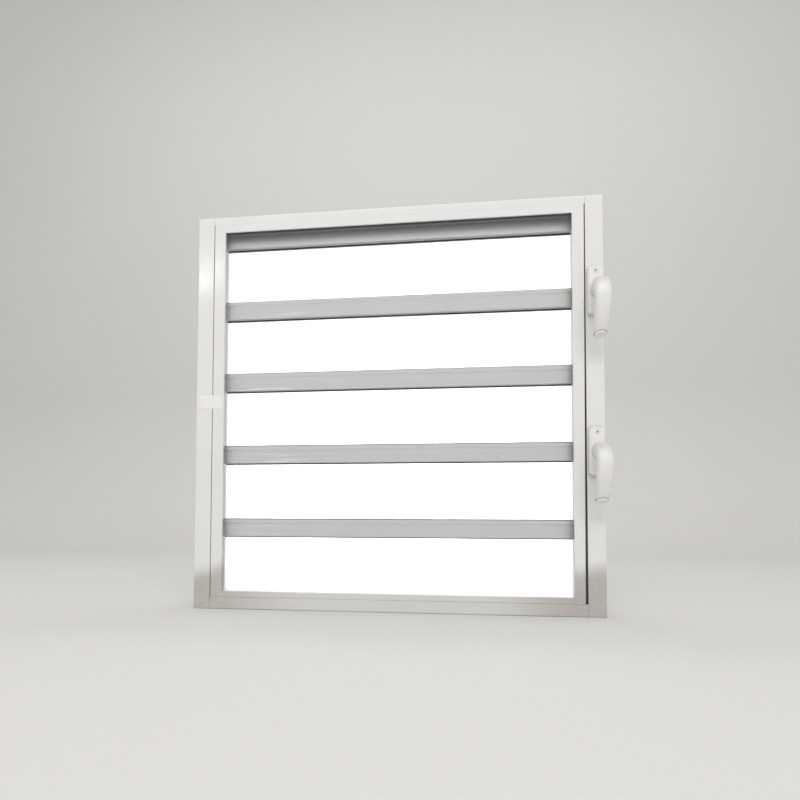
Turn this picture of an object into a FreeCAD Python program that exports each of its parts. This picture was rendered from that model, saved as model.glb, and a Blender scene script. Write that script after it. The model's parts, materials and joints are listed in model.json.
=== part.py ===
import FreeCAD, Part
import math
import os
from FreeCAD import Vector

# Jalousie window, in millimetres, as seen from the room: X right, Y outwards, Z up
# The origin is the middle of the underside of the outer sill

# Outer frame
WIDTH = 600.0
HEIGHT = 600.0
DEPTH = 50.0
WALL = 1.8
JAMB_FACE = 25.0
HEAD_FACE = 12.0
SILL_FACE = 18.0
EDGE_ROUND = 1.0
SILL_UPSTAND_DEPTH = 11.0
APRON_INNER_HEIGHT = 13.0
APRON_OUTER_HEIGHT = 8.0
FIXING_HOLE_RADIUS = 3.0
FIXING_HEIGHTS = (150.0, 450.0)

# Inner frame
CLEAR_HALF_WIDTH = 257.0
CLEAR_BOTTOM = 27.0
CLEAR_TOP = 576.0
FLANGE = 2.0
FLANGE_ROUND = 0.8
LEFT_GAP = 1.0
RIGHT_GAP_TOP = 1.4
RIGHT_GAP_BOTTOM = 3.6
WEB_FACE_X = 269.6
WEB_DEPTH = 45.0
SEAT_LEG_DEPTH = 6.5

# Louvres
LOUVRE_COUNT = 5
PITCH = 112.0
LOWEST_PIVOT_HEIGHT = 122.0
PIVOT_Y = 1.0
BAR_HALF_LENGTH = 260.0
BAR_HEIGHT = 26.0
BAR_FRONT = 11.5
BAR_WALL = 1.5
FIN = 2.0
LIP_HEIGHT = 5.0
LIP_PROUD = 1.5
BAR_ROUND = 0.6
GLASS = 4.0
GLASS_DROP = 102.5
GASKET = 0.75
GASKET_TOP = 4.0
GASKET_BEAD = 1.4
CAP = 3.0
PIN_RADIUS = 3.5
PIN_FIT = 0.05
LEFT_PIN_REACH = 272.0
RIGHT_PIN_REACH = 283.0
PIN_PASSAGE_RADIUS = 5.5

# Handles
HANDLE_HEIGHTS = {"upper": 460.5, "lower": 232.0}
PLATE_WIDTH = 22.0
PLATE_HEIGHT = 70.0
PLATE = 8.0
PLATE_CORNER = 6.0
PLATE_BEVEL = 2.0
SCREW_OFFSET = 26.8
SCREW_HOLE_RADIUS = 2.1
SCREW_HEAD_RADIUS = 4.0
SCREW_HEAD_DEPTH = 2.0
SPINDLE_RADIUS = 6.0
SPINDLE_FIT = 0.05
SPINDLE_REACH = 14.0
SPINDLE_PASSAGE_RADIUS = 7.0
LEVER_GAP = 0.4
NECK_RADIUS = 7.0
NECK_HALF_WIDTH = 7.6
NECK_HALF_HEIGHT = 9.8
NECK_OUT = 22.0
NECK_FLARE = 3.2
SHOULDER_RADIUS = 28.0
SHOULDER_CLEAR = 0.8
ARM_OUT = 47.0
ARM_LEAN = 11.0
ARM_WIDTH = 20.4
ARM_THICKNESS = 16.0
ARM_ROUND = 6.5
ARM_DROP = 73.0
ARM_BLANK = 120.0
ARM_END_TILT = 22.0
ARM_END_BEVEL = 1.0

# Worked out from the above
FRONT = -DEPTH / 2
BACK = DEPTH / 2
JAMB_X = WIDTH / 2 - JAMB_FACE
JAMB_MID_X = WIDTH / 2 - JAMB_FACE / 2
HEAD_Z = HEIGHT - HEAD_FACE
UPSTAND_Y = FRONT + SILL_UPSTAND_DEPTH
FLANGE_BACK = FRONT + FLANGE
WEB_BACK = FRONT + WEB_DEPTH
WEB_OUTER_X = WEB_FACE_X + WALL
CHANNEL_IN = GLASS / 2 + GASKET
CHANNEL_OUT = CHANNEL_IN + BAR_WALL
LEVER_OUT = PLATE + LEVER_GAP
ALONG_X = Vector(1, 0, 0)
ALONG_Y = Vector(0, 1, 0)
ALONG_Z = Vector(0, 0, 1)
TOUCHING = 0.001


def wire(corners, place):
    """Closed wire through corners (u, v, radius), each rounded by an arc where its radius is above zero."""
    starts = []
    ends = []
    arcs = []
    count = len(corners)
    for i, (u, v, radius) in enumerate(corners):
        here = Vector(u, v, 0)
        before = Vector(*corners[i - 1][:2], 0) - here
        after = Vector(*corners[(i + 1) % count][:2], 0) - here
        before.normalize()
        after.normalize()
        half = before.getAngle(after) / 2
        cut = radius / math.tan(half)
        bisector = before + after
        bisector.normalize()
        middle = here + bisector * (radius / math.sin(half) - radius)
        starts.append(here + before * cut)
        ends.append(here + after * cut)
        arcs.append(middle if radius > 0 else None)
    edges = []
    for i in range(count):
        if arcs[i] is not None:
            arc = Part.Arc(place(starts[i]), place(arcs[i]), place(ends[i]))
            edges.append(arc.toShape())
        edges.append(Part.makeLine(place(ends[i]), place(starts[(i + 1) % count])))
    return Part.Wire(edges)


def extrude(outlines, place, along):
    """Solid pushed along a vector from an outer outline and the outlines of its hollows."""
    wires = [wire(corners, place) for corners in outlines]
    return Part.makeFace(wires, "Part::FaceMakerBullseye").extrude(along)


def section_at_x(x):
    """Places section coordinates (y, z) on the plane at x."""
    return lambda point: Vector(x, point.x, point.y)


def section_at_y(y):
    """Places section coordinates (x, z) on the plane at y."""
    return lambda point: Vector(point.x, y, point.y)


def section_at_z(z):
    """Places section coordinates (x, y) on the plane at z."""
    return lambda point: Vector(point.x, point.y, z)


def rectangle(u0, v0, u1, v1, radius=0.0):
    """Corners of an upright rectangle, all with one radius."""
    return [(u0, v0, radius), (u1, v0, radius), (u1, v1, radius), (u0, v1, radius)]


def block(x0, y0, z0, x1, y1, z1):
    """Plain block between two opposite corners."""
    return Part.makeBox(x1 - x0, y1 - y0, z1 - z0, Vector(x0, y0, z0))


def rod(radius, start, finish):
    """Round rod between two points."""
    axis = finish - start
    return Part.makeCylinder(radius, axis.Length, start, axis)


def save(name, *solids):
    """Writes one named piece, made of one solid or of several that don't touch."""
    shape = solids[0] if len(solids) == 1 else Part.makeCompound(solids)
    shape.exportStep("parts/" + name + ".step")


def pivot_height(number):
    """Height of a louvre's axis, numbered from the top."""
    return LOWEST_PIVOT_HEIGHT + PITCH * (LOUVRE_COUNT - number)


def outer_jamb(side):
    """Full-height hollow jamb on side -1 (left) or 1 (right), drilled for its wall fixings."""
    x0, x1 = sorted((side * JAMB_X, side * WIDTH / 2))
    outside = rectangle(x0, FRONT, x1, BACK, EDGE_ROUND)
    hollow = rectangle(x0 + WALL, FRONT + WALL, x1 - WALL, BACK - WALL)
    jamb = extrude([outside, hollow], section_at_z(0), ALONG_Z * HEIGHT)
    for height in FIXING_HEIGHTS:
        inside = Vector(side * JAMB_MID_X, 0, height)
        beyond = Vector(side * WIDTH, 0, height)
        jamb = jamb.cut(rod(FIXING_HOLE_RADIUS, inside, beyond))
    return jamb


def open_for_drive(jamb):
    """Cuts the passages for the louvres' drive pins and the handles' spindles into the right jamb."""
    for number in range(1, LOUVRE_COUNT + 1):
        start = Vector(CLEAR_HALF_WIDTH, PIVOT_Y, pivot_height(number))
        finish = Vector(JAMB_MID_X, PIVOT_Y, pivot_height(number))
        jamb = jamb.cut(rod(PIN_PASSAGE_RADIUS, start, finish))
    for height in HANDLE_HEIGHTS.values():
        start = Vector(JAMB_MID_X, FRONT - PLATE, height)
        finish = Vector(JAMB_MID_X, FRONT + PLATE, height)
        jamb = jamb.cut(rod(SPINDLE_PASSAGE_RADIUS, start, finish))
    return jamb


def outer_head():
    """Hollow head between the jambs, square where it meets the inner frame's face."""
    outside = [
        (FRONT, HEAD_Z, 0),
        (BACK, HEAD_Z, EDGE_ROUND),
        (BACK, HEIGHT, EDGE_ROUND),
        (FRONT, HEIGHT, EDGE_ROUND),
    ]
    hollow = rectangle(FRONT + WALL, HEAD_Z + WALL, BACK - WALL, HEIGHT - WALL)
    return extrude([outside, hollow], section_at_x(-JAMB_X), ALONG_X * 2 * JAMB_X)


def outer_sill():
    """Two-chamber sill between the jambs: an upstand to the room and an apron that sheds water outwards."""
    fall = (APRON_INNER_HEIGHT - APRON_OUTER_HEIGHT) / (BACK - UPSTAND_Y)
    outside = [
        (FRONT, 0, EDGE_ROUND),
        (BACK, 0, EDGE_ROUND),
        (BACK, APRON_OUTER_HEIGHT, EDGE_ROUND),
        (UPSTAND_Y, APRON_INNER_HEIGHT, 0),
        (UPSTAND_Y, SILL_FACE, 0),
        (FRONT, SILL_FACE, EDGE_ROUND),
    ]
    upstand = rectangle(FRONT + WALL, WALL, UPSTAND_Y - WALL, SILL_FACE - WALL)
    apron = [
        (UPSTAND_Y, WALL, 0),
        (BACK - WALL, WALL, 0),
        (BACK - WALL, APRON_OUTER_HEIGHT - WALL + fall * WALL, 0),
        (UPSTAND_Y, APRON_INNER_HEIGHT - WALL, 0),
    ]
    return extrude([outside, upstand, apron], section_at_x(-JAMB_X), ALONG_X * 2 * JAMB_X)


def flange(corners):
    """Front flange of the inner frame from its four corners (x, z), the last two on the clear opening."""
    outline = [(x, z, 0) for x, z in corners]
    plate = extrude([outline], section_at_y(FRONT), ALONG_Y * FLANGE)
    middle = sum((Vector(x, FRONT, z) for x, z in corners[2:]), Vector()) / 2
    inner_edges = [edge for edge in plate.Edges if edge.CenterOfMass.distanceToPoint(middle) < TOUCHING]
    return plate.makeFillet(FLANGE_ROUND, inner_edges)


def inner_corners():
    """Outer corners of the inner frame's face: bottom left, bottom right, top right, top left."""
    left = -JAMB_X + LEFT_GAP
    return (
        (left, SILL_FACE),
        (JAMB_X - RIGHT_GAP_BOTTOM, SILL_FACE),
        (JAMB_X - RIGHT_GAP_TOP, HEAD_Z),
        (left, HEAD_Z),
    )


def inner_jamb(side):
    """Z-shaped jamb: a mitred flange to the room, a web that carries the pins and a leg to the outer jamb."""
    bottom_left, bottom_right, top_right, top_left = inner_corners()
    clear = side * CLEAR_HALF_WIDTH
    outer = (top_left, bottom_left) if side < 0 else (bottom_right, top_right)
    inner = [(clear, CLEAR_BOTTOM), (clear, CLEAR_TOP)]
    if side > 0:
        inner.reverse()
    face = flange([*outer, *inner])
    webs = sorted((side * WEB_FACE_X, side * WEB_OUTER_X))
    web = block(webs[0], FLANGE_BACK, SILL_FACE, webs[1], WEB_BACK, HEAD_Z)
    legs = sorted((side * WEB_OUTER_X, side * JAMB_X))
    leg = block(legs[0], WEB_BACK - WALL, SILL_FACE, legs[1], WEB_BACK, HEAD_Z)
    jamb = face.fuse([web, leg]).removeSplitter()
    for number in range(1, LOUVRE_COUNT + 1):
        start = Vector(side * CLEAR_HALF_WIDTH, PIVOT_Y, pivot_height(number))
        finish = Vector(side * JAMB_X, PIVOT_Y, pivot_height(number))
        jamb = jamb.cut(rod(PIN_RADIUS + PIN_FIT, start, finish))
    return jamb.Solids[0]


def inner_rail(outer, clear_z, seat_z):
    """Mitred head or sill of the inner frame, with a leg that seats on the outer frame between the webs."""
    inner = [(CLEAR_HALF_WIDTH, clear_z), (-CLEAR_HALF_WIDTH, clear_z)]
    if outer[0][0] > outer[1][0]:
        inner.reverse()
    face = flange([*outer, *inner])
    low, high = sorted((seat_z, seat_z + math.copysign(WALL, clear_z - seat_z)))
    leg = block(-WEB_FACE_X, FLANGE_BACK, low, WEB_FACE_X, FRONT + SEAT_LEG_DEPTH, high)
    return face.fuse(leg).removeSplitter().Solids[0]


def section_at_louvre(x, height):
    """Places section coordinates (y, z), measured from a louvre's axis, on the plane at x."""
    return lambda point: Vector(x, PIVOT_Y + point.x, height + point.y)


def bar_outline(bottom, ease):
    """Outline of a louvre's bar from the corners along its bottom, eased by a radius on the room side."""
    half = BAR_HEIGHT / 2
    return [
        (-BAR_FRONT, -half, ease),
        *bottom,
        (CHANNEL_OUT, -half, 0),
        (CHANNEL_OUT, 0, 0),
        (FIN - BAR_FRONT, 0, 0),
        (FIN - BAR_FRONT, half, 0),
        (-BAR_FRONT - LIP_PROUD, half, ease),
        (-BAR_FRONT - LIP_PROUD, half - LIP_HEIGHT, ease),
        (-BAR_FRONT, half - LIP_HEIGHT - LIP_PROUD, ease),
    ]


def louvre_bar(height):
    """Extruded bar: a hollow chamber, a channel that is open downwards for the pane, and a fin above."""
    half = BAR_HEIGHT / 2
    channel = [
        (-CHANNEL_IN, -half, 0),
        (-CHANNEL_IN, -BAR_WALL, 0),
        (CHANNEL_IN, -BAR_WALL, 0),
        (CHANNEL_IN, -half, 0),
    ]
    chamber = rectangle(FIN - BAR_FRONT, BAR_WALL - half, -CHANNEL_OUT, -BAR_WALL)
    place = section_at_louvre(-BAR_HALF_LENGTH, height)
    return extrude([bar_outline(channel, BAR_ROUND), chamber], place, ALONG_X * 2 * BAR_HALF_LENGTH)


def louvre_glass(height):
    """Pane pushed up to the roof of the bar's channel."""
    outline = rectangle(-GLASS / 2, -GLASS_DROP, GLASS / 2, -BAR_WALL)
    place = section_at_louvre(-BAR_HALF_LENGTH, height)
    return extrude([outline], place, ALONG_X * 2 * BAR_HALF_LENGTH)


def louvre_gasket(side, height):
    """Strip on side -1 (room) or 1 (outside) of the pane, with a bead that shows below the bar."""
    half = BAR_HEIGHT / 2
    inner = side * GLASS / 2
    outer = side * CHANNEL_IN
    bead = side * (CHANNEL_IN + GASKET)
    outline = [
        (inner, -GASKET_TOP, 0),
        (inner, -half - GASKET_BEAD, 0),
        (bead, -half - GASKET, 0),
        (bead, -half, 0),
        (outer, -half, 0),
        (outer, -GASKET_TOP, 0),
    ]
    place = section_at_louvre(-BAR_HALF_LENGTH, height)
    return extrude([outline], place, ALONG_X * 2 * BAR_HALF_LENGTH)


def louvre_end_cap(side, height):
    """Cap on a louvre's end, with a round boss and the pivot pin."""
    inner = side * BAR_HALF_LENGTH
    outer = side * (BAR_HALF_LENGTH + CAP)
    reach = LEFT_PIN_REACH if side < 0 else RIGHT_PIN_REACH
    plate = extrude([bar_outline([], 0)], section_at_louvre(inner, height), ALONG_X * side * CAP)
    boss = rod(CHANNEL_OUT, Vector(inner, PIVOT_Y, height), Vector(outer, PIVOT_Y, height))
    pin = rod(PIN_RADIUS, Vector(outer, PIVOT_Y, height), Vector(side * reach, PIVOT_Y, height))
    return plate.fuse([boss, pin]).removeSplitter().Solids[0]


def handle_plate(height):
    """Base plate with bevelled front edges, bored for the spindle and countersunk for two screws."""
    half_width = PLATE_WIDTH / 2
    half_height = PLATE_HEIGHT / 2
    outline = rectangle(
        JAMB_MID_X - half_width,
        height - half_height,
        JAMB_MID_X + half_width,
        height + half_height,
        PLATE_CORNER,
    )
    front = FRONT - PLATE
    plate = extrude([outline], section_at_y(FRONT), -ALONG_Y * PLATE)
    front_edges = [edge for edge in plate.Edges if abs(edge.BoundBox.YMax - front) < PLATE_BEVEL]
    plate = plate.makeChamfer(PLATE_BEVEL, front_edges)
    spindle_face = Vector(JAMB_MID_X, front, height)
    plate = plate.cut(rod(SPINDLE_RADIUS + SPINDLE_FIT, spindle_face, spindle_face + ALONG_Y * PLATE))
    for offset in (-SCREW_OFFSET, SCREW_OFFSET):
        face = Vector(JAMB_MID_X, front, height + offset)
        shank = rod(SCREW_HOLE_RADIUS, face, face + ALONG_Y * PLATE)
        sink = Part.makeCone(SCREW_HEAD_RADIUS, SCREW_HOLE_RADIUS, SCREW_HEAD_DEPTH, face, ALONG_Y)
        plate = plate.cut([shank, sink])
    return plate.Solids[0]


def section_at_lever(x, height):
    """Places section coordinates (out from the jamb, up from the spindle) on the plane at x."""
    return lambda point: Vector(x, FRONT - point.x, height + point.y)


def lever_arm(height):
    """Soft-cornered bar with a round top, leaning so that its lower end comes nearer the jamb."""
    half = ARM_WIDTH / 2
    left = JAMB_MID_X - half
    right = JAMB_MID_X + half
    front = FRONT - ARM_OUT - ARM_THICKNESS / 2
    back = FRONT - ARM_OUT + ARM_THICKNESS / 2
    section = rectangle(left, front, right, back, ARM_ROUND)
    bar = extrude([section], section_at_z(height - ARM_BLANK), ALONG_Z * (ARM_BLANK + ARM_WIDTH))
    bar.rotate(Vector(JAMB_MID_X, FRONT - ARM_OUT, height), ALONG_X, ARM_LEAN)
    face = Vector(JAMB_MID_X, FRONT, height)
    crown = rod(half, face, face - ALONG_Y * ARM_BLANK)
    flanks = block(left, FRONT - ARM_BLANK, height - ARM_BLANK, right, FRONT, height)
    return bar.common(crown.fuse(flanks))


def lever_side(height):
    """Blank with the lever's side view: level over the neck, round at the shoulder, then the arm's front."""
    lean = math.radians(ARM_LEAN)
    top = ARM_WIDTH / 2 + SHOULDER_CLEAR
    face_out = ARM_OUT + ARM_THICKNESS / 2 / math.cos(lean)
    low = -ARM_BLANK
    outline = [
        (LEVER_OUT, low, 0),
        (LEVER_OUT, top, 0),
        (face_out + top * math.tan(lean), top, SHOULDER_RADIUS),
        (face_out + low * math.tan(lean), low, 0),
    ]
    return extrude([outline], section_at_lever(JAMB_X, height), ALONG_X * JAMB_FACE)


def lever_end_cut(end):
    """Block whose top is the arm's slanting end, turned a little towards the room."""
    half = ARM_BLANK / 2
    cutter = block(-half, -half, -ARM_BLANK, half, half, 0)
    cutter.rotate(Vector(), ALONG_X, -ARM_END_TILT)
    cutter.translate(end)
    return cutter


def handle_lever(height):
    """Lever on a spindle: an upright neck, a round shoulder and a hanging arm with a bevelled end."""
    root = Vector(JAMB_MID_X, FRONT - LEVER_OUT, height)
    flare = Vector(JAMB_MID_X, FRONT - NECK_OUT, height)
    knee = Vector(JAMB_MID_X, FRONT - ARM_OUT, height)
    end = knee + Vector(0, ARM_DROP * math.tan(math.radians(ARM_LEAN)), -ARM_DROP)
    shoulder = rod(ARM_WIDTH / 2, flare - ALONG_Y * NECK_FLARE, knee)
    arm = lever_arm(height).fuse(shoulder).common(lever_side(height))
    arm = arm.cut(lever_end_cut(end)).removeSplitter()
    end_face = min(arm.Faces, key=lambda face: face.CenterOfMass.distanceToPoint(end))
    arm = arm.makeChamfer(ARM_END_BEVEL, end_face.Edges)
    oval = rectangle(
        JAMB_MID_X - NECK_HALF_WIDTH,
        height - NECK_HALF_HEIGHT,
        JAMB_MID_X + NECK_HALF_WIDTH,
        height + NECK_HALF_HEIGHT,
        NECK_RADIUS,
    )
    neck = extrude([oval], section_at_y(FRONT - LEVER_OUT), -ALONG_Y * (NECK_OUT + NECK_FLARE - LEVER_OUT))
    cone = Part.makeCone(NECK_RADIUS, ARM_WIDTH / 2, NECK_FLARE, flare, -ALONG_Y)
    spindle = rod(SPINDLE_RADIUS, root, root + ALONG_Y * (LEVER_OUT + SPINDLE_REACH))
    return arm.fuse([cone, neck, spindle]).removeSplitter().Solids[0]


os.makedirs("parts", exist_ok=True)
save("outer_left_jamb", outer_jamb(-1))
save("outer_right_jamb", open_for_drive(outer_jamb(1)))
save("outer_head", outer_head())
save("outer_sill", outer_sill())
bottom_left, bottom_right, top_right, top_left = inner_corners()
save("inner_left_jamb", inner_jamb(-1))
save("inner_right_jamb", inner_jamb(1))
save("inner_head", inner_rail((top_right, top_left), CLEAR_TOP, HEAD_Z))
save("inner_sill", inner_rail((bottom_left, bottom_right), CLEAR_BOTTOM, SILL_FACE))
heights = [pivot_height(number) for number in range(1, LOUVRE_COUNT + 1)]
for number, height in enumerate(heights, 1):
    name = "louvre_" + str(number)
    save(name + "_bar", louvre_bar(height))
    save(name + "_glass", louvre_glass(height))
    save(name + "_gaskets", louvre_gasket(-1, height), louvre_gasket(1, height))
    save(name + "_end_caps", louvre_end_cap(-1, height), louvre_end_cap(1, height))
for name, height in HANDLE_HEIGHTS.items():
    save(name + "_handle_plate", handle_plate(height))
    save(name + "_handle_lever", handle_lever(height))
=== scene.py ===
import json
import math

import bmesh
import bpy
from mathutils import Matrix, Quaternion, Vector


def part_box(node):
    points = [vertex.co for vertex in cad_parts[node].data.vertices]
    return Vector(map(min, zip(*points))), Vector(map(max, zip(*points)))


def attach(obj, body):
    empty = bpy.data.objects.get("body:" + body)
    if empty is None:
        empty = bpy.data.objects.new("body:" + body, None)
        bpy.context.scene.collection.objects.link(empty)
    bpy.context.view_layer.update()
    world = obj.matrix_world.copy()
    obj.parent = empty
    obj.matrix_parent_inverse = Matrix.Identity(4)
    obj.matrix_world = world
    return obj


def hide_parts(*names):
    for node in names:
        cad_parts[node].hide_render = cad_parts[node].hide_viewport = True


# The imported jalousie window, in metres: X right as seen from the room, Y outwards, Z up
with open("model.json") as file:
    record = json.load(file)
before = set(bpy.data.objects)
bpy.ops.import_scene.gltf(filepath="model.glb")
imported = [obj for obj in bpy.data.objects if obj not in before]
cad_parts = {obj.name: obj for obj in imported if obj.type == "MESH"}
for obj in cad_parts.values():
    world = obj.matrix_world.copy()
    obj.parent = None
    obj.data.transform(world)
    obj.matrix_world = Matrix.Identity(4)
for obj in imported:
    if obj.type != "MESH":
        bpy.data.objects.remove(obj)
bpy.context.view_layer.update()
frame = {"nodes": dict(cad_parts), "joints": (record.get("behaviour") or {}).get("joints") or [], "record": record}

MM = 0.001
JOINTS = {joint["name"]: joint for joint in frame["joints"]}
LOUVRES = (1, 2, 3, 4, 5)
HANDLES = ("upper", "lower")

# Levers, in millimetres: out from the jamb, up from the spindle, turn of the arm from straight out
# towards straight down, half width, half thickness, and squareness of its section (two is a plain oval)
LEVER_STATIONS = (
    (8.4, 0.0, 0.0, 7.8, 9.8, 2.6),
    (14.0, 0.0, 0.0, 7.6, 9.6, 2.6),
    (20.0, 0.1, 2.0, 8.2, 9.6, 2.7),
    (28.0, -0.4, 12.0, 9.6, 9.6, 2.8),
    (36.2, -4.2, 38.0, 10.3, 9.6, 3.0),
    (41.3, -12.4, 68.0, 10.6, 8.9, 3.2),
    (42.5, -22.5, 92.0, 10.6, 8.3, 3.4),
    (39.2, -37.5, 106.0, 10.3, 7.8, 3.3),
    (33.4, -52.0, 111.0, 9.9, 7.5, 2.9),
    (29.0, -62.0, 94.0, 9.5, 7.6, 2.4),
    (26.4, -69.2, 68.0, 9.2, 8.4, 2.1),
)
LEVER_RINGS_PER_SPAN = 7
LEVER_RING_POINTS = 56
LEVER_END_ROUND = 2.6
LEVER_END_RINGS = 7
LEVER_END_DISH = 0.4
LEVER_RIM = 0.35
LEVER_PLUG_INSET = 0.9
LEVER_SHARP_RINGS = 4

# Plate screws, in millimetres
SCREW_OFFSET = 26.8
SCREW_RADIUS = 3.7
SCREW_SINK = 0.15
SCREW_RIM = 0.5
SCREW_CROSS_ARM = 1.4
SCREW_CROSS_HALF_WIDTH = 0.45
SCREW_CROSS_DEPTH = 1.1
SCREW_CROSS_TAPER = 0.5
SCREW_POINTS = 40
SCREW_TURNS = (12.0, 57.0, 33.0, 76.0)

# Blank label across the left-hand joint, in millimetres
LABEL_LEFT = -295.0
LABEL_RIGHT = -260.0
LABEL_BOTTOM = 303.0
LABEL_TOP = 324.0
LABEL_CORNER = 2.0
LABEL_THICKNESS = 0.12
LABEL_LIFT = 0.02
LABEL_CURL = 0.35
LABEL_CURL_REACH = 0.3
LABEL_COLUMNS = 28
LABEL_ROWS = 16

# Seals, and the black strip of painted shade in the right-hand slot, in millimetres
SEAL_SET_BACK = 2.6
SEAL_HALF_WIDTH = 0.85
SEAL_HEIGHT = 1.3
SEAL_BITE = 0.2
SEAL_END_GAP = 1.0
SEAL_RIPPLE = 0.06
SEAL_WAVES = 22.0
SEAL_STEPS = 60
SEAL_POINTS = 10
SLOT_TOP = 1.4
SLOT_BOTTOM = 3.6
SLOT_STRIP_FIT = 0.05
SLOT_STRIP_CROWN = 0.5
SLOT_STRIP_DEPTH_BOTTOM = 1.7
SLOT_STRIP_DEPTH_TOP = 9.0

# Dust and painted shade low on the frame, in millimetres: heights at which its film starts and is full, how far
# these wander, and distances from the middle at which it is thin and thick
DUST_STARTS = 78.0
DUST_FULL = 42.0
DUST_WANDER = 9.0
DUST_THIN = 120.0
DUST_THICK = 295.0

# Shade on the bars, in millimetres: distances from the middle where it changes towards their ends, and
# heights between which it grows under the head
END_SHADE_STARTS = 235.0
END_SHADE_FULL = 252.0
HEAD_SHADE_STARTS = 556.0
HEAD_SHADE_FULL = 580.0

# Painted glint streaks on the bars, in millimetres to the left of the middle
STREAKS_START = 250.0
STREAKS_FULL = 235.0
STREAKS_WANE = 180.0
STREAKS_END = 100.0

# Creases and worn edges: rays for each point, the openness at which a crease starts and is full, and
# the match of the flat and the rounded normal at which wear starts and is full
CREASE_RAYS = 6
CREASE_STARTS = 0.85
CREASE_FULL = 0.25
EDGE_RAYS = 4
WEAR_STARTS = 0.99
WEAR_FULL = 0.88

# Places of the Mix node's colour sockets, because its other sockets have the same names
MIX_FIRST = 6
MIX_SECOND = 7
MIX_RESULT = 2

# Camera, fitted to the window's corners in the photograph: metres, degrees, and millimetres for the lens
CAMERA_PLACE = (0.06403, -0.89987, 0.1306)
CAMERA_YAW = 7.292
CAMERA_PITCH = 2.181
CAMERA_ROLL = 0.265
CAMERA_LENS = 27.0
CAMERA_SENSOR = 36.0
CAMERA_SHIFT = (0.0510, 0.1247)
CAMERA_NEAR = 0.01

# Studio: the paper sweep in metres, and the strength of the surrounding light
FLOOR_HALF_WIDTH = 8.0
FLOOR_FRONT = -8.0
FLOOR_BACK = 1.6
SWEEP_RADIUS = 0.9
SWEEP_STEPS = 24
WALL_HEIGHT = 4.0
GLOW_HORIZON = 0.6
GLOW_OVERHEAD = 0.7
GLOW_RISE = 0.8
GLOW_COLOUR = (0.98, 0.98, 0.975, 1.0)

# Lights: place and aim in metres, size in metres, power in watts. The key is soft and high, the glint
# is mirrored in the left jamb, and the panel whitens the panes from behind
KEY_PLACE = (0.2, -2.4, 2.7)
KEY_AIM = (0.0, 0.0, 0.32)
KEY_SIZE = (2.6, 1.2)
KEY_POWER = 50.0
KEY_COLOUR = (1.0, 0.985, 0.97)
GLINT_PLACE = (-0.99, -1.78, 1.27)
GLINT_AIM = (-0.287, -0.025, 0.51)
GLINT_SIZE = (0.17, 0.045)
GLINT_POWER = 0.55
GLINT_ROLL = 45.0
BACKDROP_PLACE = (0.0, 0.9, 3.0)
BACKDROP_AIM = (0.0, 2.2, 0.6)
BACKDROP_SIZE = (3.5, 0.6)
BACKDROP_POWER = 14.0
PANEL_PLACE = (-0.03, 0.4, 0.4)
PANEL_AIM = (-0.03, 0.0, 0.4)
PANEL_SIZE = (1.1, 0.9)
PANEL_POWER = 3.4
PANEL_SPREAD = 100.0


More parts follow.
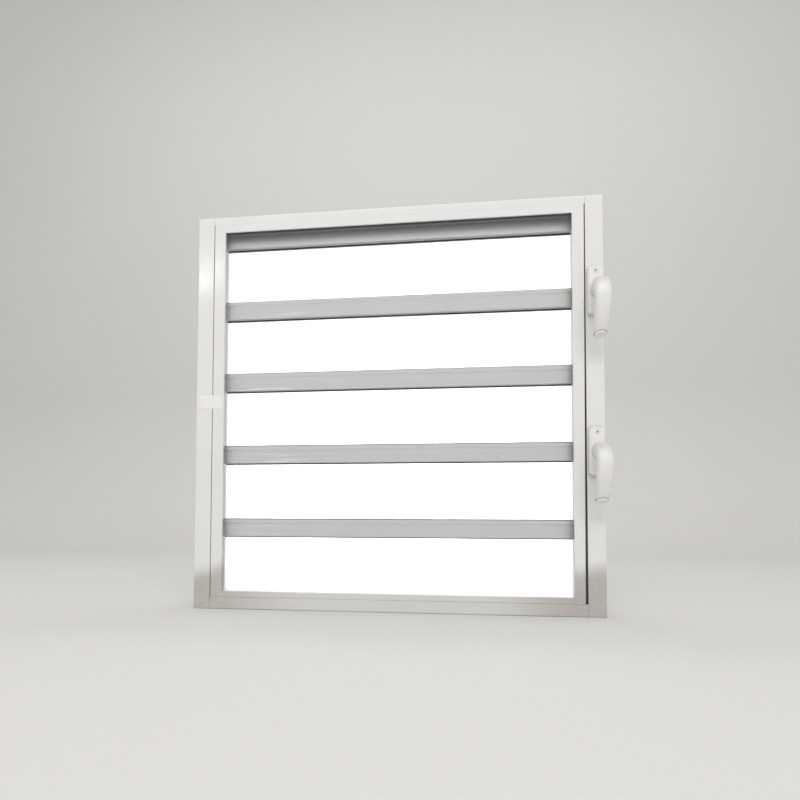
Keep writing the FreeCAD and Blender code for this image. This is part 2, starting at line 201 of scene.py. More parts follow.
class Paint:
    """A node material on a Principled shader. Its textures use the object's own metres."""

    def __init__(self, name):
        self.material = bpy.data.materials.new(name)
        self.material.use_nodes = True
        self.tree = self.material.node_tree
        self.tree.nodes.clear()
        self.shader = self.tree.nodes.new("ShaderNodeBsdfPrincipled")
        output = self.tree.nodes.new("ShaderNodeOutputMaterial")
        self.tree.links.new(self.shader.outputs["BSDF"], output.inputs["Surface"])
        self.coordinates = self.tree.nodes.new("ShaderNodeTexCoord")
        self.place = self.coordinates.outputs["Object"]
        self.facing = self.coordinates.outputs["Normal"]

    def feed(self, socket, value):
        """Links a socket, or sets its value where a plain number or colour is given."""
        if isinstance(value, bpy.types.NodeSocket):
            self.tree.links.new(value, socket)
        elif isinstance(value, tuple) and len(value) == 3 and socket.type == "RGBA":
            socket.default_value = (*value, 1.0)
        else:
            socket.default_value = value

    def set(self, **inputs):
        """Sets inputs of the shader by name, with spaces written as underscores."""
        for name, value in inputs.items():
            self.feed(self.shader.inputs[name.replace("_", " ")], value)

    def math(self, operation, first, second=0.0):
        """The result of a Math node."""
        node = self.tree.nodes.new("ShaderNodeMath")
        node.operation = operation
        self.feed(node.inputs[0], first)
        self.feed(node.inputs[1], second)
        return node.outputs[0]

    def stretch(self, scale):
        """The object's coordinates multiplied axis by axis."""
        node = self.tree.nodes.new("ShaderNodeMapping")
        self.feed(node.inputs["Vector"], self.place)
        node.inputs["Scale"].default_value = scale
        return node.outputs["Vector"]

    def noise(self, scale, detail=3.0, roughness=0.5, vector=None):
        """Cloudy noise about one half, by default over the place."""
        node = self.tree.nodes.new("ShaderNodeTexNoise")
        self.feed(node.inputs["Vector"], vector or self.place)
        node.inputs["Scale"].default_value = scale
        node.inputs["Detail"].default_value = detail
        node.inputs["Roughness"].default_value = roughness
        return node.outputs["Fac"]

    def axis(self, letter, vector=None):
        """One coordinate of a vector, or of the place where none is given."""
        node = self.tree.nodes.new("ShaderNodeSeparateXYZ")
        self.feed(node.inputs[0], vector or self.place)
        return node.outputs[letter]

    def ramp(self, value, start, finish, low=0.0, high=1.0):
        """Eases from low to high while a value goes from start to finish."""
        node = self.tree.nodes.new("ShaderNodeMapRange")
        node.interpolation_type = "SMOOTHSTEP"
        self.feed(node.inputs["Value"], value)
        node.inputs["From Min"].default_value = start
        node.inputs["From Max"].default_value = finish
        node.inputs["To Min"].default_value = low
        node.inputs["To Max"].default_value = high
        return node.outputs["Result"]

    def blend(self, share, first, second):
        """Mixes two colours."""
        node = self.tree.nodes.new("ShaderNodeMix")
        node.data_type = "RGBA"
        self.feed(node.inputs["Factor"], share)
        self.feed(node.inputs[MIX_FIRST], first)
        self.feed(node.inputs[MIX_SECOND], second)
        return node.outputs[MIX_RESULT]

    def crease(self, distance):
        """One in corners and grooves that are narrower than a distance, zero on open faces."""
        node = self.tree.nodes.new("ShaderNodeAmbientOcclusion")
        node.samples = CREASE_RAYS
        node.inputs["Distance"].default_value = distance
        return self.ramp(node.outputs["AO"], CREASE_STARTS, CREASE_FULL)

    def soft_edges(self, radius):
        """A normal that rounds sharp edges."""
        node = self.tree.nodes.new("ShaderNodeBevel")
        node.samples = EDGE_RAYS
        node.inputs["Radius"].default_value = radius
        return node.outputs["Normal"]

    def worn(self, softened, patches):
        """The share of wear along edges that a softened normal rounds off, broken into patches."""
        geometry = self.tree.nodes.new("ShaderNodeNewGeometry")
        node = self.tree.nodes.new("ShaderNodeVectorMath")
        node.operation = "DOT_PRODUCT"
        self.feed(node.inputs[0], softened)
        self.feed(node.inputs[1], geometry.outputs["Normal"])
        rounding = self.ramp(node.outputs["Value"], WEAR_STARTS, WEAR_FULL)
        return self.math("MULTIPLY", rounding, patches)

    def bump(self, height, distance, normal=None):
        """A normal that follows small heights, on top of another normal where one is given."""
        node = self.tree.nodes.new("ShaderNodeBump")
        node.inputs["Distance"].default_value = distance
        self.feed(node.inputs["Height"], height)
        if normal is not None:
            self.feed(node.inputs["Normal"], normal)
        return node.outputs["Normal"]


def dust_and_shade_film(paint, clouds, drift):
    """Share of the film of dust and painted shade on the frame, which thickens towards the sill and the sides."""
    wander = DUST_WANDER * MM
    height = paint.math("ADD", paint.axis("Z"), paint.ramp(drift, 0.25, 0.75, -wander, wander))
    film = paint.ramp(height, DUST_STARTS * MM, DUST_FULL * MM)
    sideways = paint.math("ABSOLUTE", paint.axis("X"))
    film = paint.math("MULTIPLY", film, paint.ramp(sideways, DUST_THIN * MM, DUST_THICK * MM, 0.30, 0.85))
    return paint.math("MULTIPLY", film, paint.ramp(clouds, 0.2, 0.8, 0.7, 1.0))


def frame_coat():
    """White gloss coat: faint clouds, orange peel, painted shade in its creases and joints, and a film of dust and
    painted shade low down.
    """
    dull_white = (0.76, 0.765, 0.76)
    clean_white = (0.83, 0.83, 0.82)
    # Colour of the film low on the frame: dust, and painted shade where it darkens towards the sill
    dust_and_shade = (0.385, 0.35, 0.32)
    # Colour of the painted shade in creases and joints
    crease_shade_colour = (0.20, 0.195, 0.185)
    bare = (0.54, 0.535, 0.52)
    paint = Paint("frame_coat")
    clouds = paint.noise(7.0, detail=4.0)
    drift = paint.noise(18.0, detail=4.0)
    # Film of dust and painted shade, fuller towards the sill and the sides
    film = dust_and_shade_film(paint, clouds, drift)
    colour = paint.blend(film, paint.blend(clouds, dull_white, clean_white), dust_and_shade)
    # Painted shade in creases and joints narrower than 4 mm, patchy
    crease_shade = paint.math("MULTIPLY", paint.crease(4.0 * MM), paint.ramp(drift, 0.25, 0.75, 0.35, 0.8))
    colour = paint.blend(crease_shade, colour, crease_shade_colour)
    softened = paint.soft_edges(0.7 * MM)
    rubbed = paint.noise(45.0, detail=5.0)
    colour = paint.blend(paint.worn(softened, paint.ramp(rubbed, 0.48, 0.66, 0.0, 0.5)), colour, bare)
    gloss = paint.ramp(rubbed, 0.25, 0.75, 0.09, 0.16)
    roughness = paint.math("ADD", gloss, paint.math("MULTIPLY", film, 0.2))
    peel = paint.noise(850.0, detail=2.0)
    paint.set(Base_Color=colour, Roughness=roughness, Specular_IOR_Level=0.45)
    paint.set(Normal=paint.bump(peel, 0.007 * MM, softened))
    return paint.material


def bar_shade(paint, tilt):
    """Share of shade in the bars' corners, less on undersides and at the ends, and under the head."""
    shade = paint.math("MULTIPLY", paint.crease(50.0 * MM), paint.ramp(tilt, -0.9, -0.2, 0.43, 0.95))
    sideways = paint.math("ABSOLUTE", paint.axis("X"))
    ends = paint.ramp(sideways, END_SHADE_STARTS * MM, END_SHADE_FULL * MM, 1.0, 0.68)
    height = paint.axis("Z")
    under_head = paint.ramp(height, HEAD_SHADE_STARTS * MM, HEAD_SHADE_FULL * MM, 0.0, 0.74)
    return paint.math("MAXIMUM", paint.math("MULTIPLY", shade, ends), under_head)


def bar_glint_streaks(paint):
    """Share of thin streaks of painted glint near the bars' left end."""
    streaks = paint.noise(1.0, detail=2.0, vector=paint.stretch((10.0, 40.0, 270.0)))
    wane = paint.ramp(paint.axis("X"), -STREAKS_END * MM, -STREAKS_WANE * MM)
    rise = paint.ramp(paint.axis("X"), -STREAKS_START * MM, -STREAKS_FULL * MM)
    near_left = paint.math("MULTIPLY", wane, rise)
    return paint.math("MULTIPLY", paint.ramp(streaks, 0.58, 0.72, 0.0, 0.65), near_left)


def louvre_satin():
    """Pale grey satin extrusion: die lines, dust on top, painted shade in corners, at the ends and under the head,
    painted light under the lip, painted glint streaks, and worn edges.
    """
    dark_line = (0.48, 0.483, 0.49)
    pale_line = (0.645, 0.645, 0.65)
    haze = (0.70, 0.70, 0.69)
    dust_and_shade_grey = (0.50, 0.49, 0.46)
    shaded = (0.11, 0.11, 0.117)
    # Colour of the painted light under the lips
    pale = (0.86, 0.86, 0.865)
    # Colour of the painted glints
    glint_white = (0.92, 0.92, 0.92)
    bare = (0.78, 0.78, 0.78)
    paint = Paint("louvre_satin")
    lines = paint.noise(1.0, detail=5.0, roughness=0.65, vector=paint.stretch((1.2, 700.0, 700.0)))
    clouds = paint.noise(9.0, detail=3.0)
    colour = paint.blend(lines, dark_line, pale_line)
    colour = paint.blend(paint.ramp(clouds, 0.3, 0.7, 0.0, 0.18), colour, haze)
    tilt = paint.axis("Z", paint.facing)
    upward = paint.ramp(tilt, 0.6, 0.95)
    dust_and_shade = paint.math("MULTIPLY", upward, paint.ramp(paint.noise(160.0, detail=5.0), 0.35, 0.7, 0.2, 0.7))
    colour = paint.blend(dust_and_shade, colour, dust_and_shade_grey)
    shade = bar_shade(paint, tilt)
    in_light = paint.ramp(shade, 0.3, 0.05)
    colour = paint.blend(shade, colour, shaded)
    # Painted light on faces that slope down under each bar's lip, kept out of the painted shade
    painted_light_under_lip = paint.math("MULTIPLY", paint.ramp(tilt, -0.45, -0.62), paint.ramp(tilt, -0.95, -0.8))
    colour = paint.blend(paint.math("MULTIPLY", painted_light_under_lip, in_light), colour, pale)
    # Painted glints: thin bright streaks near the bars' left end
    colour = paint.blend(bar_glint_streaks(paint), colour, glint_white)
    softened = paint.soft_edges(0.5 * MM)
    worn = paint.worn(softened, paint.ramp(clouds, 0.4, 0.65, 0.1, 0.6))
    colour = paint.blend(paint.math("MULTIPLY", worn, in_light), colour, bare)
    gloss = paint.ramp(lines, 0.3, 0.7, 0.42, 0.55)
    paint.set(Base_Color=colour, Roughness=paint.math("ADD", gloss, paint.math("MULTIPLY", dust_and_shade, 0.3)))
    paint.set(Specular_IOR_Level=0.35, Normal=paint.bump(lines, 0.06 * MM, softened))
    return paint.material


def frosted_glass():
    """Obscure glass: a fine frost on its faces, greener at its cut edges."""
    cool_white = (0.93, 0.955, 0.95)
    white = (0.97, 0.985, 0.98)
    green = (0.50, 0.72, 0.64)
    paint = Paint("frosted_glass")
    side = paint.math("ABSOLUTE", paint.axis("Y", paint.facing))
    edge = paint.ramp(side, 0.7, 0.3)
    clouds = paint.noise(14.0, detail=4.0)
    body = paint.blend(clouds, cool_white, white)
    frost = paint.noise(1500.0, detail=3.0, roughness=0.7)
    paint.set(Base_Color=paint.blend(edge, body, green), IOR=1.5, Transmission_Weight=0.75)
    paint.set(Roughness=paint.ramp(clouds, 0.2, 0.8, 0.42, 0.55), Normal=paint.bump(frost, 0.08 * MM))
    return paint.material


def gasket_rubber():
    """Matt black rubber, bloomed grey in patches."""
    black = (0.026, 0.026, 0.027)
    grey = (0.085, 0.085, 0.082)
    paint = Paint("gasket_rubber")
    bloom = paint.noise(120.0, detail=5.0, roughness=0.6)
    paint.set(Base_Color=paint.blend(paint.ramp(bloom, 0.4, 0.8), black, grey))
    paint.set(Roughness=paint.ramp(bloom, 0.3, 0.7, 0.55, 0.8))
    paint.set(Normal=paint.bump(paint.noise(1800.0, detail=2.0), 0.04 * MM))
    return paint.material


def natural_nylon():
    """Milky moulded nylon for the louvre end caps and pins."""
    cream = (0.66, 0.65, 0.60)
    milky = (0.76, 0.75, 0.70)
    paint = Paint("natural_nylon")
    clouds = paint.noise(60.0, detail=4.0)
    paint.set(Base_Color=paint.blend(clouds, cream, milky))
    paint.set(Roughness=paint.ramp(clouds, 0.3, 0.7, 0.38, 0.5), Subsurface_Weight=0.08)
    paint.set(Subsurface_Radius=(2.0 * MM, 1.8 * MM, 1.4 * MM))
    paint.set(Normal=paint.bump(paint.noise(900.0, detail=2.0), 0.03 * MM, paint.soft_edges(0.5 * MM)))
    return paint.material


def handle_plastic():
    """Soft-gloss white moulding, a little warmer than the frame, with patchy painted shade on its upward faces and
    in its creases.
    """
    warm_white = (0.80, 0.80, 0.785)
    clean_white = (0.86, 0.86, 0.85)
    # Colour of the patchy painted shade on upward faces
    dust_and_shade_grey = (0.49, 0.48, 0.46)
    # Colour of the painted shade in creases
    crease_shade_colour = (0.26, 0.25, 0.235)
    paint = Paint("handle_plastic")
    white = paint.blend(paint.noise(26.0, detail=4.0), warm_white, clean_white)
    # Patchy painted shade on upward faces, which darkens the moulding's tops
    upward = paint.ramp(paint.axis("Z", paint.facing), 0.05, 0.85)
    dust_and_shade = paint.math("MULTIPLY", upward, paint.ramp(paint.noise(210.0, detail=5.0), 0.3, 0.7, 0.55, 0.8))
    top_shaded = paint.blend(dust_and_shade, white, dust_and_shade_grey)
    # Painted shade in creases narrower than 3 mm
    crease_shade = paint.math("MULTIPLY", paint.crease(3.0 * MM), 0.55)
    paint.set(Base_Color=paint.blend(crease_shade, top_shaded, crease_shade_colour))
    paint.set(Roughness=paint.ramp(paint.noise(70.0, detail=4.0), 0.25, 0.75, 0.34, 0.46))
    paint.set(Subsurface_Weight=0.05, Subsurface_Radius=(3.0 * MM, 2.6 * MM, 2.0 * MM))
    paint.set(Normal=paint.bump(paint.noise(1100.0, detail=2.0), 0.025 * MM, paint.soft_edges(1.2 * MM)))
    return paint.material


def screw_lacquer():
    """White lacquered screw head, chipped to bare steel in specks."""
    dull_white = (0.76, 0.76, 0.745)
    clean_white = (0.83, 0.83, 0.82)
    steel = (0.30, 0.30, 0.29)
    paint = Paint("screw_lacquer")
    wear = paint.noise(1300.0, detail=4.0)
    chips = paint.ramp(wear, 0.62, 0.70)
    white = paint.blend(paint.noise(400.0), dull_white, clean_white)
    paint.set(Base_Color=paint.blend(chips, white, steel))
    paint.set(Metallic=paint.math("MULTIPLY", chips, 0.8))
    paint.set(Roughness=paint.ramp(wear, 0.3, 0.7, 0.3, 0.45), Normal=paint.bump(wear, 0.03 * MM))
    return paint.material


def recess_shade():
    """Near-black painted shade in the screws' recesses and the levers' seams."""
    black = (0.03, 0.03, 0.03)
    brown = (0.09, 0.085, 0.078)
    paint = Paint("recess_shade")
    specks = paint.noise(1500.0, detail=4.0)
    paint.set(Base_Color=paint.blend(specks, black, brown))
    paint.set(Roughness=paint.ramp(specks, 0.3, 0.7, 0.7, 0.95), Normal=paint.bump(specks, 0.08 * MM))
    return paint.material


def label_vinyl():
    """Blank white vinyl with a faint grain and slightly yellowed patches."""
    yellowed = (0.82, 0.82, 0.80)
    white = (0.88, 0.88, 0.87)
    paint = Paint("label_vinyl")
    clouds = paint.noise(70.0, detail=5.0)
    fibres = paint.noise(1.0, detail=4.0, vector=paint.stretch((500.0, 500.0, 2200.0)))
    paint.set(Base_Color=paint.blend(clouds, yellowed, white))
    paint.set(Roughness=paint.ramp(clouds, 0.3, 0.7, 0.4, 0.55), Normal=paint.bump(fibres, 0.02 * MM))
    return paint.material


def studio_paper():
    """Pale paper sweep."""
    dull = (0.66, 0.66, 0.652)
    pale = (0.70, 0.70, 0.692)
    paint = Paint("studio_paper")
    clouds = paint.noise(0.8, detail=3.0)
    paint.set(Base_Color=paint.blend(clouds, dull, pale))
    paint.set(Roughness=paint.ramp(clouds, 0.3, 0.7, 0.75, 0.85))
    return paint.material


def mesh_object(name, mesh, materials):
    """A new object in the scene from a filled bmesh."""
    data = bpy.data.meshes.new(name)
    mesh.to_mesh(data)
    mesh.free()
    for material in materials:
        data.materials.append(material)
    made = bpy.data.objects.new(name, data)
    bpy.context.scene.collection.objects.link(made)
    return made


def mesh_piece(name, mesh, materials, body):
    """A new piece from a filled bmesh, which moves with a body."""
    piece = mesh_object(name, mesh, materials)
    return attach(piece, body)


def bridge(mesh, first, second):
    """Faces between two rings of as many points, in order."""
    faces = []
    for step in range(len(first)):
        after = (step + 1) % len(first)
        faces.append(mesh.faces.new((first[step], first[after], second[after], second[step])))
    return faces


def lever_station(position):
    """The lever's numbers at a position along its stations, eased from one station to the next."""
    last = len(LEVER_STATIONS) - 1
    index = min(int(position), last - 1)
    share = position - index
    before = LEVER_STATIONS[max(index - 1, 0)]
    here = LEVER_STATIONS[index]
    there = LEVER_STATIONS[index + 1]
    beyond = LEVER_STATIONS[min(index + 2, last)]
    values = []
    for previous, start, end, following in zip(before, here, there, beyond):
        rise = (end - previous) / 2
        fall = (following - start) / 2
        cubic = 2 * start - 2 * end + rise + fall
        square = -3 * start + 3 * end - 2 * rise - fall
        values.append(((cubic * share + square) * share + rise) * share + start)
    return values


def lever_ring(mesh, spindle, numbers, inset=0.0, forward=0.0):
    """One oval ring of the lever, square to its arm, made smaller by an inset and pushed forward."""
    out, up, turn, half_width, half_thickness, squareness = numbers
    angle = math.radians(turn)
    along = Vector((0, -math.cos(angle), -math.sin(angle)))
    across = Vector((0, math.sin(angle), -math.cos(angle)))
    centre = spindle + Vector((0, -out, up)) * MM + along * forward * MM
    ring = []
    for step in range(LEVER_RING_POINTS):
        theta = 2 * math.pi * step / LEVER_RING_POINTS
        cosine = math.cos(theta)
        sine = math.sin(theta)
        side = math.copysign(abs(cosine) ** (2 / squareness), cosine) * (half_width - inset)
        face = math.copysign(abs(sine) ** (2 / squareness), sine) * (half_thickness - inset)
        ring.append(mesh.verts.new(centre + Vector((side, 0, 0)) * MM + across * face * MM))
    return ring


def lever_end_profile():
    """Insets and reaches of the rings that close the arm: its rim, then a plug with a dished face."""
    profile = [(LEVER_RIM, LEVER_RIM), (LEVER_PLUG_INSET, LEVER_RIM)]
    for step in range(LEVER_END_RINGS + 1):
        angle = math.pi / 2 * step / LEVER_END_RINGS
        inset = LEVER_PLUG_INSET + LEVER_END_ROUND * (1 - math.cos(angle))
        profile.append((inset, 2 * LEVER_RIM + LEVER_END_ROUND * math.sin(angle)))
    profile.append((2 * LEVER_END_ROUND, 2 * LEVER_RIM + LEVER_END_ROUND - LEVER_END_DISH))
    return profile


def lever(side, plastic, crease_shade):
    """Smooth moulded lever that stands for the plain one: neck, shoulder and drooping arm with a plug."""
    spindle = Vector(JOINTS[side + "_handle_turn"]["pos_m"])
    mesh = bmesh.new()
    steps = (len(LEVER_STATIONS) - 1) * LEVER_RINGS_PER_SPAN
    rings = []
    for step in range(steps + 1):
        rings.append(lever_ring(mesh, spindle, lever_station(step / LEVER_RINGS_PER_SPAN)))
    for inset, forward in lever_end_profile():
        rings.append(lever_ring(mesh, spindle, LEVER_STATIONS[-1], inset, forward))
    # The seam rings between the arm's rim and its plug take the near-black painted shade
    seam = (steps + 1, steps + 2)
    for index, (first, second) in enumerate(zip(rings, rings[1:])):
        for face in bridge(mesh, first, second):
            face.material_index = int(index in seam)
    mesh.faces.new(rings[-1])
    mesh.faces.new(rings[0][::-1])
    bmesh.ops.recalc_face_normals(mesh, faces=mesh.faces)
    for face in mesh.faces:
        face.smooth = True
    for ring in rings[steps:steps + LEVER_SHARP_RINGS]:
        for step in range(LEVER_RING_POINTS):
            mesh.edges.get((ring[step - 1], ring[step])).smooth = False
    piece = mesh_piece(side + "_lever_moulding", mesh, [plastic, crease_shade], side + "_handle")
    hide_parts(side + "_handle_lever")
    return piece


def screw_cross(turn):
    """Outline of a screw's cross recess, turned by some degrees, as places across and up."""
    arm = SCREW_CROSS_ARM
    half = SCREW_CROSS_HALF_WIDTH
    outline = []
    for quarter in range(4):
        angle = math.radians(90 * quarter + turn)
        for x, z in ((arm, -half), (arm, half), (half, half)):
            turned_x = x * math.cos(angle) - z * math.sin(angle)
            turned_z = x * math.sin(angle) + z * math.cos(angle)
            outline.append((turned_x, turned_z))
    return outline


def screw(name, centre, turn, steel, crease_shade):
    """Countersunk cross-recess screw head, its face just under the plate's front."""
    mesh = bmesh.new()

    def loop(places, depth):
        return [mesh.verts.new(centre + Vector((x, depth, z)) * MM) for x, z in places]

    def circle(radius, depth):
        angles = [2 * math.pi * step / SCREW_POINTS for step in range(SCREW_POINTS)]
        return loop([(radius * math.cos(angle), radius * math.sin(angle)) for angle in angles], depth)

    shank = circle(SCREW_RADIUS / 2, SCREW_RADIUS / 2 + SCREW_RIM)
    skirt = circle(SCREW_RADIUS, SCREW_RIM)
    rim = circle(SCREW_RADIUS - SCREW_RIM / 2, 0.0)
    bridge(mesh, shank, skirt)
    bridge(mesh, skirt, rim)
    outline = screw_cross(turn)
    mouth = loop(outline, 0.0)
    floor = loop([(x * SCREW_CROSS_TAPER, z * SCREW_CROSS_TAPER) for x, z in outline], SCREW_CROSS_DEPTH)
    edges = [mesh.edges.get((rim[i - 1], rim[i])) for i in range(SCREW_POINTS)]
    edges += [mesh.edges.new((mouth[i - 1], mouth[i])) for i in range(len(mouth))]
    bmesh.ops.triangle_fill(mesh, use_beauty=True, edges=edges)
    steel_faces = len(mesh.faces)
    bridge(mesh, mouth, floor)
    mesh.faces.new(floor)
    mesh.faces.ensure_lookup_table()
    # The cross recess takes the near-black painted shade
    for face in mesh.faces[steel_faces:]:
        face.material_index = 1
    bmesh.ops.recalc_face_normals(mesh, faces=mesh.faces)
    return mesh_piece(name, mesh, [steel, crease_shade], "frame")


def plate_screws(crease_shade):
    """Two screws in each handle plate."""
    steel = screw_lacquer()
    turns = iter(SCREW_TURNS)
    for side in HANDLES:
        low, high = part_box(side + "_handle_plate")
        middle = (low + high) / 2
        for place, offset in (("top", SCREW_OFFSET), ("bottom", -SCREW_OFFSET)):
            centre = Vector((middle.x, low.y + SCREW_SINK * MM, middle.z + offset * MM))
            screw(side + "_plate_screw_" + place, centre, next(turns), steel, crease_shade)


def rounded_sheet(x, z, width, height):
    """A place on the label's sheet, pulled in where it lies outside a rounded corner."""
    corner_x = max(LABEL_CORNER - min(x, width - x), 0.0)
    corner_z = max(LABEL_CORNER - min(z, height - z), 0.0)
    reach = math.hypot(corner_x, corner_z)
    if corner_x > 0 and corner_z > 0 and reach > LABEL_CORNER:
        pull = LABEL_CORNER / reach
        x += math.copysign(corner_x * (1 - pull), width / 2 - x)
        z += math.copysign(corner_z * (1 - pull), height / 2 - z)
    return x, z


def blank_label():
    """Thin blank label stuck across the joint between the jamb and the inner frame, one corner lifting."""
    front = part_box("outer_left_jamb")[0].y
    width = LABEL_RIGHT - LABEL_LEFT
    height = LABEL_TOP - LABEL_BOTTOM
    mesh = bmesh.new()
    grid = []
    for row in range(LABEL_ROWS + 1):
        v = row / LABEL_ROWS
        line = []
        for column in range(LABEL_COLUMNS + 1):
            u = column / LABEL_COLUMNS
            x, z = rounded_sheet(u * width, v * height, width, height)
            peel = max(u + v - 2 + LABEL_CURL_REACH, 0.0) / LABEL_CURL_REACH
            lift = LABEL_LIFT + LABEL_CURL * peel ** 2
            place = Vector((LABEL_LEFT + x, -lift, LABEL_BOTTOM + z)) * MM
            line.append(mesh.verts.new(place + Vector((0, front, 0))))
        grid.append(line)
    for row in range(LABEL_ROWS):
        for column in range(LABEL_COLUMNS):
            below = grid[row][column:column + 2]
            above = grid[row + 1][column:column + 2]
            face = mesh.faces.new(below + above[::-1])
            face.smooth = True
    piece = mesh_piece("blank_label", mesh, [label_vinyl()], "frame")
    skin = piece.modifiers.new("thickness", "SOLIDIFY")
    skin.thickness = LABEL_THICKNESS * MM
    skin.offset = -1.0
    return piece


def half_round(mesh, stations, points):
    """Bead through stations (middle, across, outwards), half round on its outward side."""
    rings = []
    for middle, across, outwards in stations:
        ring = []
        for step in range(points + 1):
            angle = math.pi * step / points
            ring.append(mesh.verts.new(middle + across * math.cos(angle) + outwards * math.sin(angle)))
        rings.append(ring)
    for first, second in zip(rings, rings[1:]):
        for face in bridge(mesh, first, second)[:points]:
            face.smooth = True
    mesh.faces.new(rings[0])
    mesh.faces.new(rings[-1][::-1])
    bmesh.ops.recalc_face_normals(mesh, faces=mesh.faces)


def top_seal(number, rubber):
    """Dark bead along the top of a louvre's fin, where the pane above comes near it."""
    low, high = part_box("louvre_" + str(number) + "_bar")
    y = low.y + SEAL_SET_BACK * MM
    left = low.x + SEAL_END_GAP * MM
    length = high.x - low.x - 2 * SEAL_END_GAP * MM
    stations = []
    for step in range(SEAL_STEPS + 1):
        share = step / SEAL_STEPS
        ripple = SEAL_RIPPLE * math.sin(SEAL_WAVES * math.pi * share + number)
        middle = Vector((left + share * length, y, high.z - SEAL_BITE * MM))
        outwards = Vector((0, 0, SEAL_HEIGHT + SEAL_BITE + ripple)) * MM
        stations.append((middle, Vector((0, SEAL_HALF_WIDTH * MM, 0)), outwards))
    mesh = bmesh.new()
    half_round(mesh, stations, SEAL_POINTS)
    piece = mesh_piece("louvre_" + str(number) + "_top_seal", mesh, [rubber], "louvre_" + str(number))
    return piece


def slot_shade_strip(rubber):
    """Black strip of painted shade in the tapering slot between the inner frame and the right jamb, set shallower
    at the bottom.
    """
    low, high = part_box("inner_right_jamb")
    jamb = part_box("outer_right_jamb")[0].x
    stations = []
    for step in range(SEAL_STEPS + 1):
        share = step / SEAL_STEPS
        gap = SLOT_BOTTOM + (SLOT_TOP - SLOT_BOTTOM) * share
        depth = SLOT_STRIP_DEPTH_BOTTOM + (SLOT_STRIP_DEPTH_TOP - SLOT_STRIP_DEPTH_BOTTOM) * share
        half = (gap / 2 - SLOT_STRIP_FIT) * MM
        z = low.z + SEAL_END_GAP * MM + share * (high.z - low.z - 2 * SEAL_END_GAP * MM)
        middle = Vector((jamb - gap / 2 * MM, low.y + depth * MM, z))
        stations.append((middle, Vector((half, 0, 0)), Vector((0, -SLOT_STRIP_CROWN * MM, 0))))
    mesh = bmesh.new()
    half_round(mesh, stations, SEAL_POINTS)
    piece = mesh_piece("slot_shade_strip", mesh, [rubber], "frame")
    return piece


def dress(node, material):
    """Gives a node of the frame its finish."""
    slots = frame["nodes"][node].data.materials
    if not slots:
        slots.append(material)
    for index in range(len(slots)):
        slots[index] = material


def finishes():
    """Every node's finish, by the record's material slots, and the levers, screws, seals and the black strip of
    painted shade in the slot.
    """
    materials = {
        "frame_white": frame_coat(),
        "louvre_bar": louvre_satin(),
        "glass": frosted_glass(),
        "gasket": gasket_rubber(),
        "nylon": natural_nylon(),
        "handle_white": handle_plastic(),
    }
    for part in frame["record"]["subparts"]:
        dress(part["node"], materials[part["material_slot"]])
    # Near-black painted shade for the screws' recesses and the levers' seams
    crease_shade = recess_shade()
    for side in HANDLES:
        lever(side, materials["handle_white"], crease_shade)
    plate_screws(crease_shade)
    for number in LOUVRES:
        top_seal(number, materials["gasket"])
    # Black strip of painted shade in the right-hand slot
    slot_shade_strip(materials["gasket"])


def sweep():
    """Pale floor that curves up into a backdrop."""
    profile = [(FLOOR_FRONT, 0.0)]
    for step in range(SWEEP_STEPS + 1):
        angle = math.pi / 2 * step / SWEEP_STEPS
        y = FLOOR_BACK + SWEEP_RADIUS * math.sin(angle)
        profile.append((y, SWEEP_RADIUS * (1 - math.cos(angle))))
    profile.append((FLOOR_BACK + SWEEP_RADIUS, WALL_HEIGHT))
    mesh = bmesh.new()
    left = [mesh.verts.new((-FLOOR_HALF_WIDTH, y, z)) for y, z in profile]
    right = [mesh.verts.new((FLOOR_HALF_WIDTH, y, z)) for y, z in profile]
    for i in range(len(profile) - 1):
        face = mesh.faces.new((left[i], right[i], right[i + 1], left[i + 1]))
        face.smooth = True
    floor = mesh_object("floor", mesh, [studio_paper()])


def softbox(name, place, aim, size, power, colour=(1.0, 1.0, 1.0), spread=180.0, roll=0.0):
    """Rectangular soft light that points at a spot and isn't seen itself."""
    light = bpy.data.lights.new(name, "AREA")
    light.shape = "RECTANGLE"
    light.size, light.size_y = size
    light.energy = power
    light.color = colour
    light.spread = math.radians(spread)
    lamp = bpy.data.objects.new(name, light)
    lamp.location = place
    facing = (Vector(aim) - Vector(place)).to_track_quat("-Z", "Y")
    lamp.rotation_euler = (facing @ Quaternion((0, 0, 1), math.radians(roll))).to_euler()
    lamp.visible_camera = False
    bpy.context.scene.collection.objects.link(lamp)
    return lamp


def light_only(lamp, nodes):
    """Lets a light reach only some nodes of the frame."""
    lit = bpy.data.collections.new(lamp.name + "_reaches")
    for node in nodes:
        lit.objects.link(frame["nodes"][node])
    lamp.light_linking.receiver_collection = lit


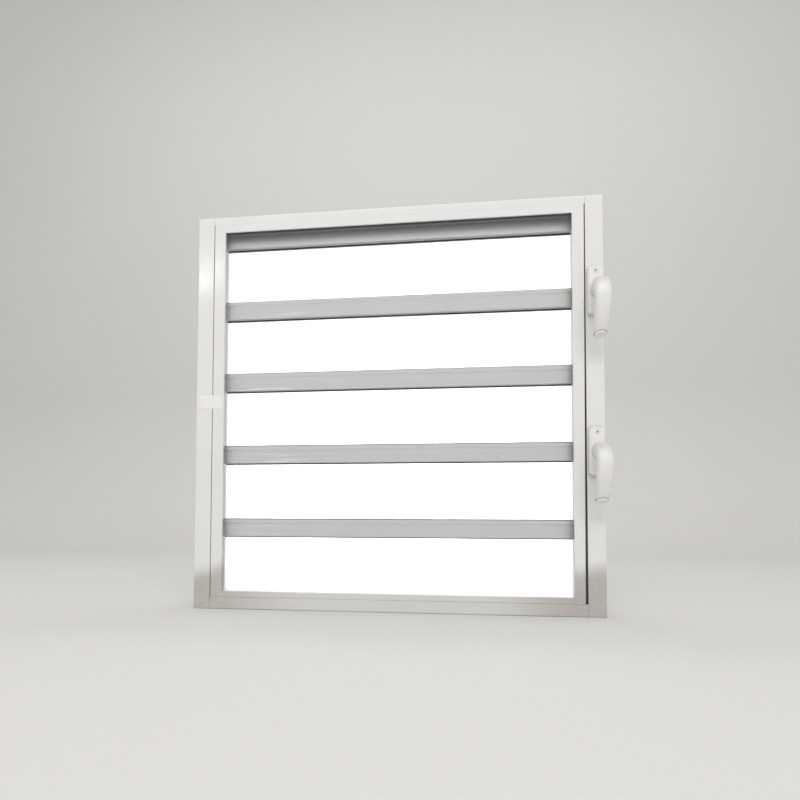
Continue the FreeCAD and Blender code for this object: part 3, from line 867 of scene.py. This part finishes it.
def overhead_glow():
    """Soft surrounding light, dim at the horizon and brighter overhead."""
    world = bpy.data.worlds.new("studio")
    world.use_nodes = True
    nodes = world.node_tree.nodes
    links = world.node_tree.links
    direction = nodes.new("ShaderNodeTexCoord")
    split = nodes.new("ShaderNodeSeparateXYZ")
    height = nodes.new("ShaderNodeMapRange")
    links.new(direction.outputs["Generated"], split.inputs[0])
    links.new(split.outputs["Z"], height.inputs["Value"])
    height.inputs["From Min"].default_value = 0.0
    height.inputs["From Max"].default_value = GLOW_RISE
    height.inputs["To Min"].default_value = GLOW_HORIZON
    height.inputs["To Max"].default_value = GLOW_OVERHEAD
    sky = nodes["Background"]
    sky.inputs["Color"].default_value = GLOW_COLOUR
    links.new(height.outputs["Result"], sky.inputs["Strength"])
    return world


def studio():
    """Soft light from the front and above, an even backdrop, and a panel behind the panes."""
    scene = bpy.context.scene
    scene.world = overhead_glow()
    scene.view_settings.view_transform = "Standard"
    scene.view_settings.look = "None"
    softbox("key", KEY_PLACE, KEY_AIM, KEY_SIZE, KEY_POWER, KEY_COLOUR)
    softbox("glint", GLINT_PLACE, GLINT_AIM, GLINT_SIZE, GLINT_POWER, roll=GLINT_ROLL)
    softbox("backdrop", BACKDROP_PLACE, BACKDROP_AIM, BACKDROP_SIZE, BACKDROP_POWER)
    panel = softbox("panel", PANEL_PLACE, PANEL_AIM, PANEL_SIZE, PANEL_POWER, spread=PANEL_SPREAD)
    light_only(panel, ["louvre_" + str(number) + "_glass" for number in LOUVRES])
    sweep()


def camera():
    """The photograph's viewpoint."""
    lens = bpy.data.cameras.new("camera")
    lens.lens = CAMERA_LENS
    lens.sensor_width = CAMERA_SENSOR
    lens.shift_x, lens.shift_y = CAMERA_SHIFT
    lens.clip_start = CAMERA_NEAR
    eye = bpy.data.objects.new("camera", lens)
    turn = Matrix.Rotation(math.radians(CAMERA_YAW), 4, "Z")
    tilt = Matrix.Rotation(math.radians(90 + CAMERA_PITCH), 4, "X")
    roll = Matrix.Rotation(math.radians(CAMERA_ROLL), 4, "Z")
    eye.matrix_world = Matrix.Translation(CAMERA_PLACE) @ turn @ tilt @ roll
    bpy.context.scene.collection.objects.link(eye)
    bpy.context.scene.camera = eye


finishes()
blank_label()
studio()
camera()
